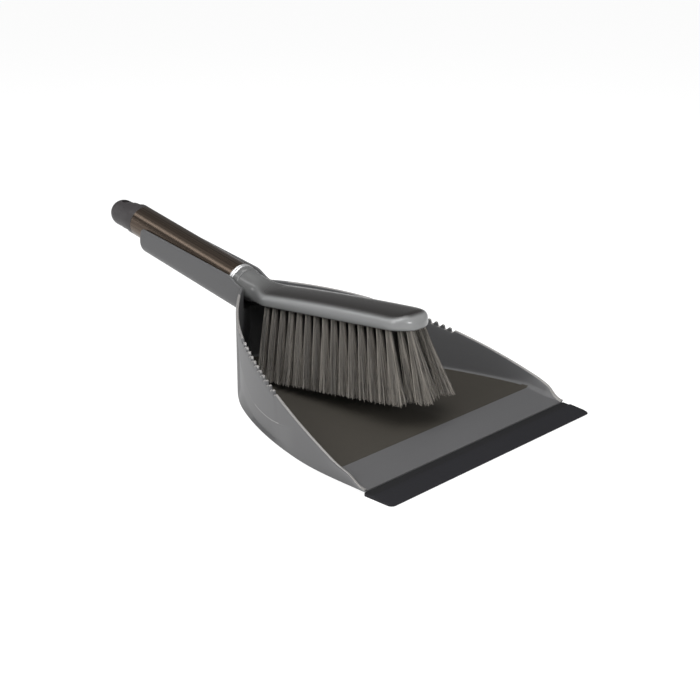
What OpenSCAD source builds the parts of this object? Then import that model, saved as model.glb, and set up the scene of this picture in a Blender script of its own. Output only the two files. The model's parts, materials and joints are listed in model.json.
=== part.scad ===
// Dust pan and hand brush set.
// The brush lies in the pan: its steel handle rests in the pan's channel handle, its
// bristles hang just clear of the pan floor.
// +X points out over the lip, +Z is up, the set is symmetric about Y = 0 and stands on Z = 0.

/* [Overall] */
// Length of the stored set from the lip to the tip of the brush handle
overall_l = 408; // [370:1:490]
// Width of the pan across its rim
pan_w = 208; // [170:1:250]

/* [Pan] */
// Length of the bowl from the lip to its back wall
pan_l = 243; // [200:1:292]
// How much the sides swell out between the lip and the back
bulge = 3.6; // [0:0.1:6]
// Height of the rim where it meets the handle channel
rim_back = 71; // [58:1:86]
// Height that the rim line runs out to over the lip
rim_front = 1; // [0.5:0.5:3]
// Thickness of the moulding
wall_t = 2.2; // [1.6:0.1:3]
// How far each side wall leans out between its foot and its rim
wall_lean = 4; // [0:0.5:8]
// How much further back the foot of the bowl reaches than its rim
foot_back = 3; // [0:0.5:5]
// Height of the top of the pan floor
floor_z = 7.5; // [5:0.5:10]
// Depth of the sloping ramp, front to back
ramp_l = 28; // [18:1:40]
// Radius where the floor turns up into the walls
fillet_r = 4; // [2:0.5:6]

/* [Comb teeth] */
// Number of comb teeth on each side of the rim
tooth_n = 11; // [5:1:14]
// Distance between teeth along the length of the pan
tooth_pitch = 5.2; // [4:0.1:6]
// Height of a tooth above the rim
tooth_h = 2.2; // [1:0.1:3]
// Distance of the foremost tooth behind the lip
tooth_start = 118; // [100:1:130]

/* [Lip] */
// Depth of the rubber lip, front to back
lip_l = 23; // [15:1:30]
// Thickness of the lip at its back edge
lip_t = 3.2; // [2.6:0.1:4]
// Thickness of the lip at its front edge
lip_edge_t = 1; // [0.6:0.1:1.4]
// How much narrower the lip is than the rim, on each side
lip_inset = 0.5; // [0.5:0.5:5]
// Radius of the front corners of the lip
lip_corner_r = 3.5; // [2:0.5:12]
// Thickness of the tongue that the lip is moulded on
tongue_t = 1.2; // [0.8:0.1:1.6]
// Depth of the tongue inside the lip
tongue_l = 15; // [8:1:20]

/* [Channel handle of the pan] */
// Space beside the brush tube in the channel
channel_gap = 0.8; // [0.7:0.1:1.4]
// Depth of the underside of the channel below the tube's axis
channel_drop = 17.5; // [16.5:0.5:24]
// Height of the channel rim over the tube's axis at the back end
channel_rim_back = 4; // [2:0.5:8]
// Height of the channel rim over the tube's axis near the pan
channel_rim_front = 8.4; // [4:0.5:10]
// Radius along the underside of the channel
channel_r = 9; // [5:0.5:12]
// Length of tube that sticks out behind the channel
tube_bare = 18; // [8:1:30]

/* [Brush handle] */
// Diameter of the steel tube
tube_d = 25.4; // [20:0.1:30]
// Wall of the steel tube
tube_t = 1.2; // [0.8:0.1:1.6]
// Slope of the handle, degrees
handle_tilt = 11.9; // [8:0.1:14]
// Distance of the trim ring behind the back wall of the bowl
ring_back = 8.4; // [6:0.2:14]
// Height that the rim has over the tube's axis at the trim ring
ring_drop = 2.7; // [1:0.1:5]
// Width of the bright trim ring
ring_w = 4; // [3:0.5:6]
// How far the trim ring stands out from the tube
ring_proud = 0.4; // [0.2:0.1:0.5]
// Length of the spigot and of the plug inside the tube
spigot_l = 22; // [15:1:30]
// Clearance between the tube and what is pushed into it
spigot_gap = 0.05; // [0.05:0.05:0.2]
// Length of the end cap outside the tube, up to the centre of its round tip
cap_l = 24.8; // [16:0.2:32]
// Radius of the cap's tip
cap_tip_r = 10.8; // [8:0.1:12]
// How far the tip drops below the tube's axis
cap_droop = 2; // [0:0.5:4]
// Diameter of the hanging hole
hang_d = 6; // [4:0.5:8]

/* [Brush head] */
// Length of the brush stock
stock_l = 158; // [120:1:200]
// Width of the brush stock
stock_w = 36; // [30:1:44]
// Thickness of the brush stock
stock_t = 12.5; // [11:0.5:17]
// Upward tilt of the stock towards its tip, degrees
stock_tilt = 4.8; // [0:0.1:8]
// Radius of the top edge of the stock
stock_top_r = 6; // [3:0.5:8]
// Radius of the bottom edge of the stock
stock_foot_r = 1.5; // [0.5:0.5:2.5]
// Distance from the trim ring to the back end of the stock
neck_l = 25; // [20:1:34]
// Drop from the tube's axis at the ring to the middle of the stock's underside
stock_drop = 3.3; // [0:0.1:6]

/* [Bristles] */
// Number of cross rows of tufts
row_n = 17; // [9:1:17]
// Distance of the first and last rows from the ends of the stock
row_end = 10.2; // [9:0.1:14]
// Distance between tufts in a cross row
tuft_gap = 6.5; // [6:0.1:7.5]
// Diameter of a tuft where it is drilled in
tuft_d = 4.2; // [3:0.1:4.6]
// Diameter of a tuft at its cut end
tuft_end_d = 7.4; // [5:0.1:8]
// Depth of the tuft holes
hole_l = 8; // [6:0.5:9]
// Forward lean of the rearmost tufts, degrees
lean_back = 10; // [0:1:14]
// Forward lean of the foremost tufts, degrees
lean_front = 20; // [14:1:26]
// How many times wider the rearmost bristles spread at their cut ends
spread_back = 2.5; // [1.4:0.1:2.8]
// How many times wider the foremost bristles spread at their cut ends
spread_front = 1.8; // [1.4:0.1:2.8]
// How much steeper the bristles are trimmed than the stock's underside, degrees
trim_rake = 1.6; // [0:0.2:3]
// Space between the lowest bristle ends and the pan floor
trim_gap = 0.4; // [0.4:0.1:3]
// Thickness of the staple that holds a tuft
staple_t = 0.5; // [0.3:0.1:0.8]
// Width of the staple along the hole
staple_w = 1.6; // [1:0.1:2]

/* [Hidden] */
$fn = 64;

// Plan outline of the bowl: u is 0 just behind the lip and 1 at the back wall
lip_x = overall_l / 2;
outline_lead = 10;
outline_power = 0.714;
outline_l = pan_l - outline_lead;
rim_bow = 0.37;
// Where the swell of the sides comes in and where it dies away
bulge_start = [0.04, 0.16];
bulge_end = [0.72, 0.96];
station_n = 44;
outline_end = 0.9995;

function x_behind(d) = lip_x - d;
function u_at(x) = (lip_x - x - outline_lead) / outline_l;
function outline_x(u) = lip_x - outline_lead - outline_l * u;
// 0 at low, 1 at high, and smooth between them
function ease(low, high, value) =
    let (t = max(0, min(1, (value - low) / (high - low)))) t * t * (3 - 2 * t);
function swell(u) =
    bulge * ease(bulge_start[0], bulge_start[1], u) * ease(bulge_end[1], bulge_end[0], u);
function outline_y(u, half) = half * pow(max(0, 1 - u * u), outline_power) + swell(u);
function outline_slope(u, half) =
    -2 * u * half * outline_power * pow(max(1e-6, 1 - u * u), outline_power - 1);
function normal(u, half) =
    let (s = outline_slope(u, half))
    [s, outline_l] / sqrt(s * s + outline_l * outline_l);
function rim_z(u) = rim_front + (rim_back - rim_front) * ((1 + rim_bow) * u - rim_bow * u * u);

rim_half = pan_w / 2;
foot_half = rim_half - wall_lean;
bowl_x0 = x_behind(lip_l);
bowl_u0 = u_at(bowl_x0);
ramp_x = x_behind(lip_l + ramp_l);

function floor_top(x) = x < ramp_x ? floor_z
    : floor_z + (lip_t - floor_z) * (x - ramp_x) / (bowl_x0 - ramp_x);
// Stations crowd together where the outline turns across the back
function station(k) = bowl_u0 + (outline_end - bowl_u0) * (1 - pow(1 - k / station_n, 1.8));
stations = [for (k = [0:station_n]) station(k)];

// Tube axis: a line through the trim ring
tube_r = tube_d / 2;
bore_r = tube_r - tube_t;
plug_r = bore_r - spigot_gap;
ring_x = x_behind(pan_l + ring_back);
ring_z = rim_back - ring_drop;
collar_l = 5.5;
collar_r = tube_r + 0.1;
neck_r = tube_r - 1.5;
tip_x = -overall_l / 2 + cap_tip_r;
tip_s = (ring_x - tip_x) / cos(handle_tilt) - cap_droop * tan(handle_tilt);
tube_end_s = tip_s - cap_l;
function axis_z(x) = ring_z + (ring_x - x) * tan(handle_tilt);

// Channel
channel_half = tube_r + channel_gap + wall_t;
channel_x0 = ring_x - (tube_end_s - tube_bare) * cos(handle_tilt);
channel_x1 = ring_x + 4;

// Stock frame: origin in the middle of the underside
stock_x = ring_x + neck_l + stock_l / 2;
stock_z = ring_z - stock_drop;
row_pitch = (stock_l - 2 * row_end) / (row_n - 1);
first_row = row_end - stock_l / 2;
trim_drop = (stock_z - floor_z - trim_gap) / cos(stock_tilt)
    + (first_row - tuft_end_d / 2) * tan(stock_tilt);
tuft_edge = 3.8;
tuft_overrun = 1.15;
root_l = hole_l - staple_w - 0.2;
knuckle_d = tuft_d + 0.3;
elbow = knuckle_d / 2 + 0.2;

// Tufts of one cross row: the second and fourth sit half a pitch forward
function tuft_x(i, j) = first_row + i * row_pitch + (abs(j) == 1 ? row_pitch / 2 : 0);
function along_rows(x) = (x - first_row) / (-2 * first_row);
function lean(x) = lean_back + (lean_front - lean_back) * along_rows(x);
function spread(x) = spread_back + (spread_front - spread_back) * along_rows(x);
// Length from the stock's underside to the trim plane, which rises towards the front
function trim_at(x) = trim_drop - (x - first_row) * tan(trim_rake);
function in_stock(x, y) =
    let (r = stock_w / 2 - tuft_edge, c = stock_l / 2 - stock_w / 2)
    norm([max(0, abs(x) - c), y]) <= r;
function row_tufts(i) =
    [for (j = [-2:2]) let (p = [tuft_x(i, j), j * tuft_gap]) if (in_stock(p.x, p.y)) p];

function pad(i) = i < 10 ? str("0", i) : str(i);
row_names = [for (i = [1:row_n]) str("tufts_", pad(i))];

// A solid through a list of closed sections, each a list of points in the same order
module loft(sections) {
    m = len(sections[0]);
    n = len(sections);
    points = [for (s = sections) each s];
    sides = [for (k = [0:n - 2], i = [0:m - 1])
        let (a = k * m + i, b = k * m + (i + 1) % m)
        each [[a, b + m, b], [a, a + m, b + m]]];
    caps = [[for (i = [0:m - 1]) i], [for (i = [m - 1:-1:0]) (n - 1) * m + i]];
    polyhedron(points, concat(sides, caps));
}

// Section of the bowl from half its points, mirrored about Y = 0, at one X
function mirrored(x, half_points) = concat(
    [for (p = half_points) [x, -p.x, p.y]],
    [for (i = [len(half_points) - 1:-1:0]) [x, half_points[i].x, half_points[i].y]]);

// Outer half width at height z
function outer_y(u, z) =
    let (foot = outline_y(u * outline_l / (outline_l + foot_back), foot_half),
         rim = outline_y(u, rim_half))
    foot + (rim - foot) * z / rim_z(u);

// Inner half width at height z, one wall inside the outer face
function inner_y(u, z) = max(0.2, outer_y(u, z) - wall_t * normal(u, rim_half).y);

function inner_x(u) = outline_x(u) - wall_t * normal(u, rim_half).x;

function bowl_section(u) =
    mirrored(outline_x(u), [[outer_y(u, 0), 0], [outer_y(u, rim_z(u)), rim_z(u)]]);

function cavity_section(u, x) =
    let (z0 = floor_top(x), top = rim_z(u) + 8, r = min(fillet_r, inner_y(u, z0) / 2),
         w = inner_y(u, z0 + r))
    mirrored(x, concat(
        [for (a = [0:22.5:90]) [w - r + r * sin(a), z0 + r - r * cos(a)]],
        [[inner_y(u, top), top]]));

function hollow_section(u, x) =
    mirrored(x, [[inner_y(u, 0), -1], [inner_y(u, 0), max(0.2, floor_top(x) - wall_t)]]);

// The bowl: outer form, less the space over the floor, less the shallow space under it
module bowl() {
    difference() {
        loft([for (u = stations) bowl_section(u)]);
        loft(concat([cavity_section(bowl_u0, bowl_x0 + 1)],
            [for (u = stations) cavity_section(u, inner_x(u))]));
        loft([for (u = stations) hollow_section(u, inner_x(u) - 0.01)]);
    }
}

// U outline of the channel, looking along the tube: half width, depth and corner radius
module channel_outline(half, drop, r) {
    translate([-half, r - drop])
        square([2 * half, 60]);
    translate([r - half, -drop])
        square([2 * (half - r), 2 * r]);
    for (side = [-1, 1])
        translate([side * (half - r), r - drop])
            circle(r);
}

// Places its children in the handle frame: origin at the trim ring, tube along X
module on_handle() {
    translate([ring_x, 0, ring_z])
        rotate([0, handle_tilt, 0])
            children();
}

module along_tube(from, to) {
    translate([from, 0, 0])
        rotate([90, 0, 90])
            linear_extrude(to - from)
                children();
}

// Channel with its end wall, its rim cut to the side view
module channel() {
    pan_end = channel_x1 - ring_x;
    u_join = u_at(channel_x1 + 12);
    rim_line = [
        [channel_x0, axis_z(channel_x0) + channel_rim_back],
        [ring_x, axis_z(ring_x) + channel_rim_front],
        [channel_x1 + 12, rim_z(u_join)]];
    intersection() {
        on_handle()
            along_tube(-tube_end_s, pan_end + 16)
                channel_outline(channel_half, channel_drop, channel_r);
        translate([0, channel_half + 1, 0])
            rotate([90, 0, 0])
                linear_extrude(2 * channel_half + 2)
                    polygon(concat(rim_line, [[channel_x1 + 12, 30], [channel_x0, 30]]));
    }
}

// Space for the tube: the inside of the channel and the way in from above
module channel_space() {
    inner_half = channel_half - wall_t;
    back = -(tube_end_s - tube_bare) + wall_t;
    on_handle() {
        along_tube(back, 60)
            channel_outline(inner_half, channel_drop - wall_t, channel_r - wall_t);
        rotate([0, 90, 0])
            cylinder(h = 2 * tube_end_s, r = inner_half, center = true);
        translate([-tube_end_s, -inner_half, 0])
            cube([tube_end_s, 2 * inner_half, 60]);
    }
}

module tooth(side, d) {
    x = x_behind(d);
    u = u_at(x);
    heading = atan2(outline_slope(u, rim_half), -outline_l);
    n = normal(u, rim_half);
    y = outline_y(u, rim_half) - wall_t / 2 * n.y;
    fall = atan2(rim_z(u_at(x - 1)) - rim_z(u_at(x + 1)), 2);
    half = tooth_pitch * 0.42;
    translate([x, side * y, rim_z(u)])
        rotate([0, 0, side * (heading - 180)])
            rotate([90, fall, 0])
                linear_extrude(wall_t * 0.9, center = true)
                    polygon([[-half, -1.2], [half, -1.2], [half, 0], [half * 0.4, tooth_h],
                        [-half * 0.4, tooth_h], [-half, 0]]);
}

module pan_body() {
    color([0.42, 0.43, 0.44]) {
        difference() {
            union() {
                bowl();
                difference() {
                    channel();
                    translate([0, 0, -1])
                        bowl_core();
                }
            }
            channel_space();
        }
        for (side = [-1, 1], i = [0:tooth_n - 1])
            tooth(side, tooth_start + i * tooth_pitch);
        tongue(0);
    }
}

// The room inside the bowl, which the channel's end doesn't reach into
module bowl_core() {
    loft([for (u = stations) cavity_section(u, inner_x(u))]);
}

// Tongue of the pan inside the lip, grown by gap for the slot in the rubber
module tongue(gap) {
    y = rim_half - lip_inset - lip_corner_r;
    translate([bowl_x0 - 2, -y - gap, (lip_edge_t - tongue_t) / 2 + 0.6 - gap])
        cube([tongue_l + 2 + gap, 2 * (y + gap), tongue_t + 2 * gap]);
}

module lip_plan() {
    half = rim_half - lip_inset;
    translate([bowl_x0, -half])
        square([lip_l - lip_corner_r, 2 * half]);
    translate([bowl_x0, -half + lip_corner_r])
        square([lip_l, 2 * (half - lip_corner_r)]);
    for (side = [-1, 1])
        translate([lip_x - lip_corner_r, side * (half - lip_corner_r)])
            circle(lip_corner_r);
}

module lip_rubber() {
    color([0.17, 0.17, 0.19])
        difference() {
            intersection() {
                linear_extrude(lip_t + 1)
                    lip_plan();
                translate([0, pan_w / 2, 0])
                    rotate([90, 0, 0])
                        linear_extrude(pan_w)
                            polygon([[bowl_x0, 0], [lip_x, 0], [lip_x, lip_edge_t],
                                [bowl_x0, lip_t]]);
            }
            tongue(0);
        }
}

module on_stock() {
    translate([stock_x, 0, stock_z])
        rotate([0, -stock_tilt, 0])
            children();
}

// Half cross-section of the stock, from its middle out
module stock_half() {
    w = stock_w / 2;
    square([w - stock_top_r, stock_t]);
    translate([0, stock_foot_r])
        square([w, stock_t - stock_foot_r - stock_top_r]);
    square([w - stock_foot_r, stock_foot_r * 2]);
    translate([w - stock_foot_r, stock_foot_r])
        circle(stock_foot_r);
    intersection() {
        translate([w - stock_top_r, stock_t - stock_top_r])
            circle(stock_top_r);
        square([w, stock_t]);
    }
}

module stock_block() {
    straight = stock_l - stock_w;
    for (side = [0, 1])
        mirror([0, side, 0])
            along_tube(-straight / 2, straight / 2)
                stock_half();
    for (side = [-1, 1])
        translate([side * straight / 2, 0, 0])
            rotate_extrude($fn = 96)
                stock_half();
}

// A round slice of the neck, r wide
module neck_slice(r) {
    rotate([0, 90, 0])
        cylinder(h = 0.5, r = r, $fn = 32);
}

module neck() {
    hull() {
        on_handle()
            translate([ring_w / 2 + collar_l - 0.5, 0, 0])
                neck_slice(neck_r);
        on_handle()
            translate([ring_w / 2 + collar_l + 6, 0, 0.5])
                neck_slice(neck_r - 0.8);
    }
    hull() {
        on_handle()
            translate([ring_w / 2 + collar_l + 6, 0, 0.5])
                neck_slice(neck_r - 0.8);
        on_stock()
            translate([-stock_l / 2 + stock_w * 0.45, 0, stock_t * 0.5])
                for (y = [-7, 7])
                    translate([0, y, 0])
                        sphere(r = stock_t * 0.44, $fn = 32);
    }
}

module brush_stock() {
    color([0.45, 0.46, 0.46])
        difference() {
            union() {
                on_stock()
                    stock_block();
                neck();
                on_handle() {
                    translate([ring_w / 2, 0, 0])
                        rotate([0, 90, 0])
                            cylinder(h = collar_l, r = collar_r);
                    translate([-spigot_l, 0, 0])
                        rotate([0, 90, 0])
                            cylinder(h = spigot_l + ring_w, r = plug_r);
                }
            }
            on_stock()
                for (i = [0:row_n - 1], p = row_tufts(i))
                    translate([p.x, p.y, -1])
                        cylinder(h = hole_l + 1, d = tuft_d, $fn = 24);
        }
}

module trim_ring() {
    r = tube_r + ring_proud;
    bead = ring_w / 4;
    color([0.85, 0.85, 0.86])
        on_handle()
            rotate([0, 90, 0])
                rotate_extrude($fn = 96)
                    difference() {
                        union() {
                            translate([bore_r, -ring_w / 2])
                                square([r - bead / 2 - bore_r, ring_w]);
                            for (z = [-bead, bead])
                                translate([r - bead, z])
                                    circle(bead, $fn = 24);
                        }
                        translate([0, -ring_w])
                            square([plug_r + 0.001, 2 * ring_w]);
                    }
}

module handle_tube() {
    color([0.30, 0.27, 0.23])
        on_handle()
            rotate([0, -90, 0])
                translate([0, 0, ring_w / 2])
                    difference() {
                        cylinder(h = tube_end_s - ring_w / 2, r = tube_r, $fn = 96);
                        translate([0, 0, -1])
                            cylinder(h = tube_end_s + 2, r = bore_r, $fn = 96);
                    }
}

module end_cap() {
    collar = 4;
    color([0.31, 0.30, 0.30])
        difference() {
            on_handle()
                rotate([0, -90, 0])
                    translate([0, 0, tube_end_s]) {
                        translate([0, 0, -spigot_l])
                            cylinder(h = spigot_l + 1, r = plug_r);
                        cylinder(h = collar, r = tube_r);
                        hull() {
                            translate([0, 0, collar - 0.5])
                                cylinder(h = 0.5, r = tube_r - 0.2, $fn = 48);
                            translate([-cap_droop, 0, cap_l])
                                sphere(r = cap_tip_r, $fn = 48);
                        }
                    }
            hanging_hole();
        }
}

// The hole goes straight down through the cap, square to the tube's axis
module hanging_hole() {
    on_handle()
        translate([-(tube_end_s + cap_l - 1), 0, 0])
            cylinder(h = 4 * tube_r, d = hang_d, center = true);
}

// One tuft: root in its hole, elbow below the stock, then a cone out to the trim plane
module tuft(p) {
    run = trim_at(p.x) - elbow;
    over = [p.x + run * tan(lean(p.x)), p.y * spread(p.x)];
    v = [over.x - p.x, over.y - p.y, -run];
    reach = norm(v) * tuft_overrun;
    tilt = acos(v.z / norm(v));
    turn = atan2(v.y, v.x);
    translate([p.x, p.y, -elbow])
        cylinder(h = root_l + elbow, d = tuft_d, $fn = 24);
    intersection() {
        translate([p.x, p.y, -elbow]) {
            sphere(d = knuckle_d, $fn = 24);
            rotate([0, tilt, turn])
                cylinder(h = reach, d1 = tuft_d,
                    d2 = tuft_d + (tuft_end_d - tuft_d) * tuft_overrun, $fn = 24);
        }
        translate([first_row, 0, -trim_drop])
            rotate([0, -trim_rake, 0])
                translate([-overall_l / 2, -pan_w / 2, 0])
                    cube([overall_l, pan_w, trim_drop + 20]);
    }
}

module tuft_row(i) {
    color([0.40, 0.39, 0.37])
        on_stock()
            for (p = row_tufts(i))
                tuft(p);
}

// Folded wire staples at the bottom of the tuft holes
module staples() {
    color([0.70, 0.70, 0.70])
        on_stock()
            for (i = [0:row_n - 1], p = row_tufts(i))
                translate([p.x - tuft_d * 0.35, p.y - staple_t / 2, hole_l - staple_w])
                    cube([tuft_d * 0.7, staple_t, staple_w]);
}

pan_body();
lip_rubber();
brush_stock();
trim_ring();
handle_tube();
end_cap();
staples();
for (i = [0:row_n - 1]) tuft_row(i);
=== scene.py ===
"""Dust pan and hand brush set, built around the packed model as an add-on that is run as a script."""

import json
import math

import bmesh
import bpy
from bpy.props import FloatProperty, FloatVectorProperty, IntProperty, PointerProperty
from mathutils import Matrix, Vector


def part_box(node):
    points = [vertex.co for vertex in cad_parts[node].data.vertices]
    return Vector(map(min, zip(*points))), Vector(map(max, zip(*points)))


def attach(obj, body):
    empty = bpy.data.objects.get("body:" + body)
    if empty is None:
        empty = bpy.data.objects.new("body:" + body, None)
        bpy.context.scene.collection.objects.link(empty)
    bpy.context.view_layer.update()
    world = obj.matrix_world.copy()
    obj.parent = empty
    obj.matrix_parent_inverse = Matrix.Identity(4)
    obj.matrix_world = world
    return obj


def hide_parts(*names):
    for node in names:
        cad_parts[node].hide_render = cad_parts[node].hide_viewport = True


bl_info = {
    "name": "Dust pan and brush set",
    "version": (1, 0, 0),
    "blender": (4, 5, 0),
    "location": "3D View > Sidebar > Dust pan",
    "description": "Builds a dust pan with a rubber lip and a hand brush that lies in it",
    "category": "Add Mesh",
}

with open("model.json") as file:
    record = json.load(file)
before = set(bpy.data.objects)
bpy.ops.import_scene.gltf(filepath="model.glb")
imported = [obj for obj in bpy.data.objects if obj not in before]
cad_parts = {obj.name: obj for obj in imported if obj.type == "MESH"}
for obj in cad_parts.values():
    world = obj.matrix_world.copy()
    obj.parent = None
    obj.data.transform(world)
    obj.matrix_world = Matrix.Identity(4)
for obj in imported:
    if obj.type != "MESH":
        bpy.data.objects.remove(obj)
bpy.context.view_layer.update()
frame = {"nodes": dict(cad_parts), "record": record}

MM = 0.001
WORLD_UP = Vector((0, 0, 1))

# Places that the packed model gives
RING_CENTRE = sum(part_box("trim_ring"), Vector()) / 2
TUBE_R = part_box("handle_tube")[1].y
BOWL_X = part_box("lip_rubber")[0].x
LIP_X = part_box("lip_rubber")[1].x
LIP_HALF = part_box("lip_rubber")[1].y
CAP_BACK_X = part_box("end_cap")[0].x
HOLE = next(m for m in frame["record"]["mounts"] if m["name"] == "hanging_hole")
HANDLE_UP = Vector(HOLE["axis"])
HANDLE_TILT = math.atan2(HANDLE_UP.x, HANDLE_UP.z)
HANDLE = Matrix.Translation(RING_CENTRE) @ Matrix.Rotation(HANDLE_TILT, 4, "Y")


def linear(value):
    """A colour channel from sRGB to linear light."""
    return value / 12.92 if value <= 0.04045 else ((value + 0.055) / 1.055) ** 2.4


def hex_colour(code):
    """Linear red, green and blue of an sRGB colour such as 6b6c6e."""
    return tuple(linear(int(code[i : i + 2], 16) / 255) for i in (0, 2, 4))


def length(name, description, default):
    return FloatProperty(
        name=name, description=description, default=default, min=0, unit="LENGTH", subtype="DISTANCE"
    )


def angle(name, description, degrees):
    return FloatProperty(
        name=name, description=description, default=math.radians(degrees), subtype="ANGLE"
    )


def colour(name, description, code):
    return FloatVectorProperty(
        name=name, description=description, default=hex_colour(code), subtype="COLOR", min=0, max=1
    )


class DUSTPAN_PG_pan(bpy.types.PropertyGroup):
    """Sizes and colours of the pan and its rubber lip."""

    rim_half: length("Half width", "Half the width of the pan across its rim", 104 * MM)
    bowl_length: length("Bowl length", "From the lip's front edge to the back of the rim", 243 * MM)
    lead: length("Rim lead", "How far behind the lip's edge the rim line starts", 10 * MM)
    bulge: length("Bulge", "How much the sides swell out between the lip and the back", 3.4 * MM)
    rim_back: length("Rim height", "Height of the rim at the back", 71 * MM)
    rim_front: length("Rim height in front", "Height that the rim line runs out to", 1 * MM)
    wall: length("Wall", "Thickness of the moulding", 2.2 * MM)
    lean: length("Lean", "How far the walls lean out from foot to rim", 4 * MM)
    foot_back: length("Foot back", "How much further back the foot reaches than the rim", 3 * MM)
    floor_z: length("Floor height", "Height of the top of the pan floor", 7.5 * MM)
    ramp: length("Ramp", "Depth of the smooth ramp behind the lip", 28 * MM)
    fillet: length("Fillet", "Radius where the floor turns up into the walls", 3 * MM)
    recess: length("Recess", "Depth of the recessed panel in the outside of each wall", 1.8 * MM)
    lip_rear: length("Lip thickness", "Thickness of the rubber lip at its back edge", 3.2 * MM)
    lip_edge: length("Lip edge", "Thickness of the rubber lip at its front edge", 1 * MM)
    lip_corner: length("Lip corner", "Radius of the lip's front corners", 3.5 * MM)
    teeth: IntProperty(name="Teeth", description="Comb teeth on each side", default=11, min=1)
    tooth_pitch: length("Tooth pitch", "Distance between comb teeth", 5.2 * MM)
    tooth_height: length("Tooth height", "Height of a tooth above the rim", 2.2 * MM)
    tooth_start: length("First tooth", "Distance of the foremost tooth behind the lip", 118 * MM)
    body_colour: colour("Pan colour", "Colour of the pan", "505051")
    # Painted highlight: the pale colour of the rim's rounding, the comb teeth and the edge of the outer
    # walls' crease
    rim_highlight_colour: colour("Rim colour", "Colour of the rim, rubbed pale by the bristles", "7f7d7b")
    # Darker floor colour: partly the duller spark-eroded finish, partly painted shade under the brush and
    # walls
    floor_colour: colour("Floor colour", "Colour of the textured floor", "37342f")
    seam: length("Seam", "Width of the sunken strip along the lip's back edge", 6.5 * MM)
    # Painted shade in the sunken strip along the lip's back edge
    seam_shade_colour: colour("Seam colour", "Colour of the sunken strip", "121214")
    lip_colour: colour("Lip colour", "Colour of the rubber lip", "16161a")


class DUSTPAN_PG_channel(bpy.types.PropertyGroup):
    """Sizes of the channel that is the pan's handle."""

    gap: length("Gap", "Space beside the brush tube", 0.8 * MM)
    drop: length("Drop", "Depth of the underside below the tube's axis", 17.5 * MM)
    corner: length("Corner", "Radius along the underside", 9 * MM)
    rim_back: length("Back rim", "Height of the rim over the tube's axis at the back", 3.9 * MM)
    rim_front: length("Front rim", "Height of the rim over the tube's axis at the ring", 8.2 * MM)
    rim_join: length("Joined rim", "Height of the rim over the tube's axis at the bowl", 4.5 * MM)
    bare: length("Bare tube", "Length of tube that sticks out behind the channel", 18 * MM)


class DUSTPAN_PG_brush(bpy.types.PropertyGroup):
    """Sizes and colours of the hand brush."""

    stock_length: length("Stock length", "Length of the brush stock", 158 * MM)
    stock_width: length("Stock width", "Width of the brush stock", 36 * MM)
    stock_thickness: length("Stock thickness", "Thickness of the stock at its middle", 12.8 * MM)
    stock_bow: length("Stock bow", "How much thinner the stock is at its ends", 1.4 * MM)
    top_radius: length("Top radius", "Rounding of the stock's top edge at the tip", 9 * MM)
    stock_tilt: angle("Stock tilt", "Upward tilt of the stock towards its tip", 4.8)
    neck: length("Neck", "From the trim ring to the back end of the stock", 25 * MM)
    drop: length("Drop", "From the tube's axis at the ring to the stock's underside", 3.3 * MM)
    ring_width: length("Ring width", "Width of the trim ring", 4 * MM)
    collar: length("Collar", "Length of the collar in front of the ring", 5.5 * MM)
    cap_length: length("Cap length", "From the end of the tube to the centre of the round tip", 24.8 * MM)
    cap_tip: length("Cap tip", "Radius of the cap's tip", 10.8 * MM)
    cap_droop: length("Cap droop", "How far the tip drops below the tube's axis", 2 * MM)
    stock_colour: colour("Stock colour", "Colour of the brush head", "787979")
    # Painted shade on the top of the brush head and its neck, which the low lights reach less than the
    # sides
    top_shade_colour: colour("Top colour", "Darker tone of the brush head's top", "1e1c1b")
    steel_colour: colour("Steel colour", "Tint of the steel tube", "5e534a")
    cap_colour: colour("Cap colour", "Colour of the end cap", "343132")


class DUSTPAN_PG_bristles(bpy.types.PropertyGroup):
    """Sizes and colours of the bristles."""

    rows: IntProperty(name="Rows", description="Cross rows of tufts", default=17, min=3)
    row_end: length("Row end", "From the stock's ends to the first and last rows", 10.2 * MM)
    gap: length("Tuft gap", "Distance between tufts in a row", 6.5 * MM)
    root: length("Root", "Diameter of a tuft in its hole", 4.0 * MM)
    end: length("Cut end", "Diameter of the rearmost tufts at their cut ends", 8.0 * MM)
    end_front: length("Front cut end", "Diameter of the foremost tufts at their cut ends", 15.0 * MM)
    lean_back: angle("Back lean", "Forward lean of the rearmost tufts", 7.5)
    lean_front: angle("Front lean", "Forward lean of the foremost tufts", 18.5)
    spread_back: FloatProperty(name="Back spread", description="Outward spread at the back", default=2.5)
    spread_front: FloatProperty(name="Front spread", description="Outward spread in front", default=1.8)
    rake: angle("Rake", "How much steeper the bristles are trimmed than the stock", 1.6)
    floor_gap: length("Floor gap", "Space between the lowest bristles and the floor", 0.6 * MM)
    filaments: IntProperty(name="Filaments", description="Filaments in a tuft", default=110, min=8)
    filament: length("Filament", "Radius of a filament", 0.17 * MM)
    bow: length("Bow", "How far the middle of a filament may stray sideways", 0.9 * MM)
    bristle_colour: colour("Bristle colour", "Colour of the bristles", "79746d")


class DUSTPAN_PG_stage(bpy.types.PropertyGroup):
    """The camera, the lights and the floor."""

    azimuth: angle("Azimuth", "Direction of the camera round the set", 44.16)
    elevation: angle("Elevation", "Height of the camera above the horizon", 19.5)
    distance: length("Distance", "From the camera to its target", 1.0)
    target: FloatVectorProperty(
        name="Target",
        description="Point the camera looks at",
        default=(0.0101, 0.0599, 0.0109),
        unit="LENGTH",
    )
    lens: FloatProperty(name="Lens", description="Focal length on a 36 mm sensor", default=65.87)
    floor_colour: colour("Floor colour", "Colour of the paper floor", "8c8c8c")


# ---------------------------------------------------------------- mesh helpers


def smooth_step(low, high, value):
    t = min(1.0, max(0.0, (value - low) / (high - low)))
    return t * t * (3 - 2 * t)


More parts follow.
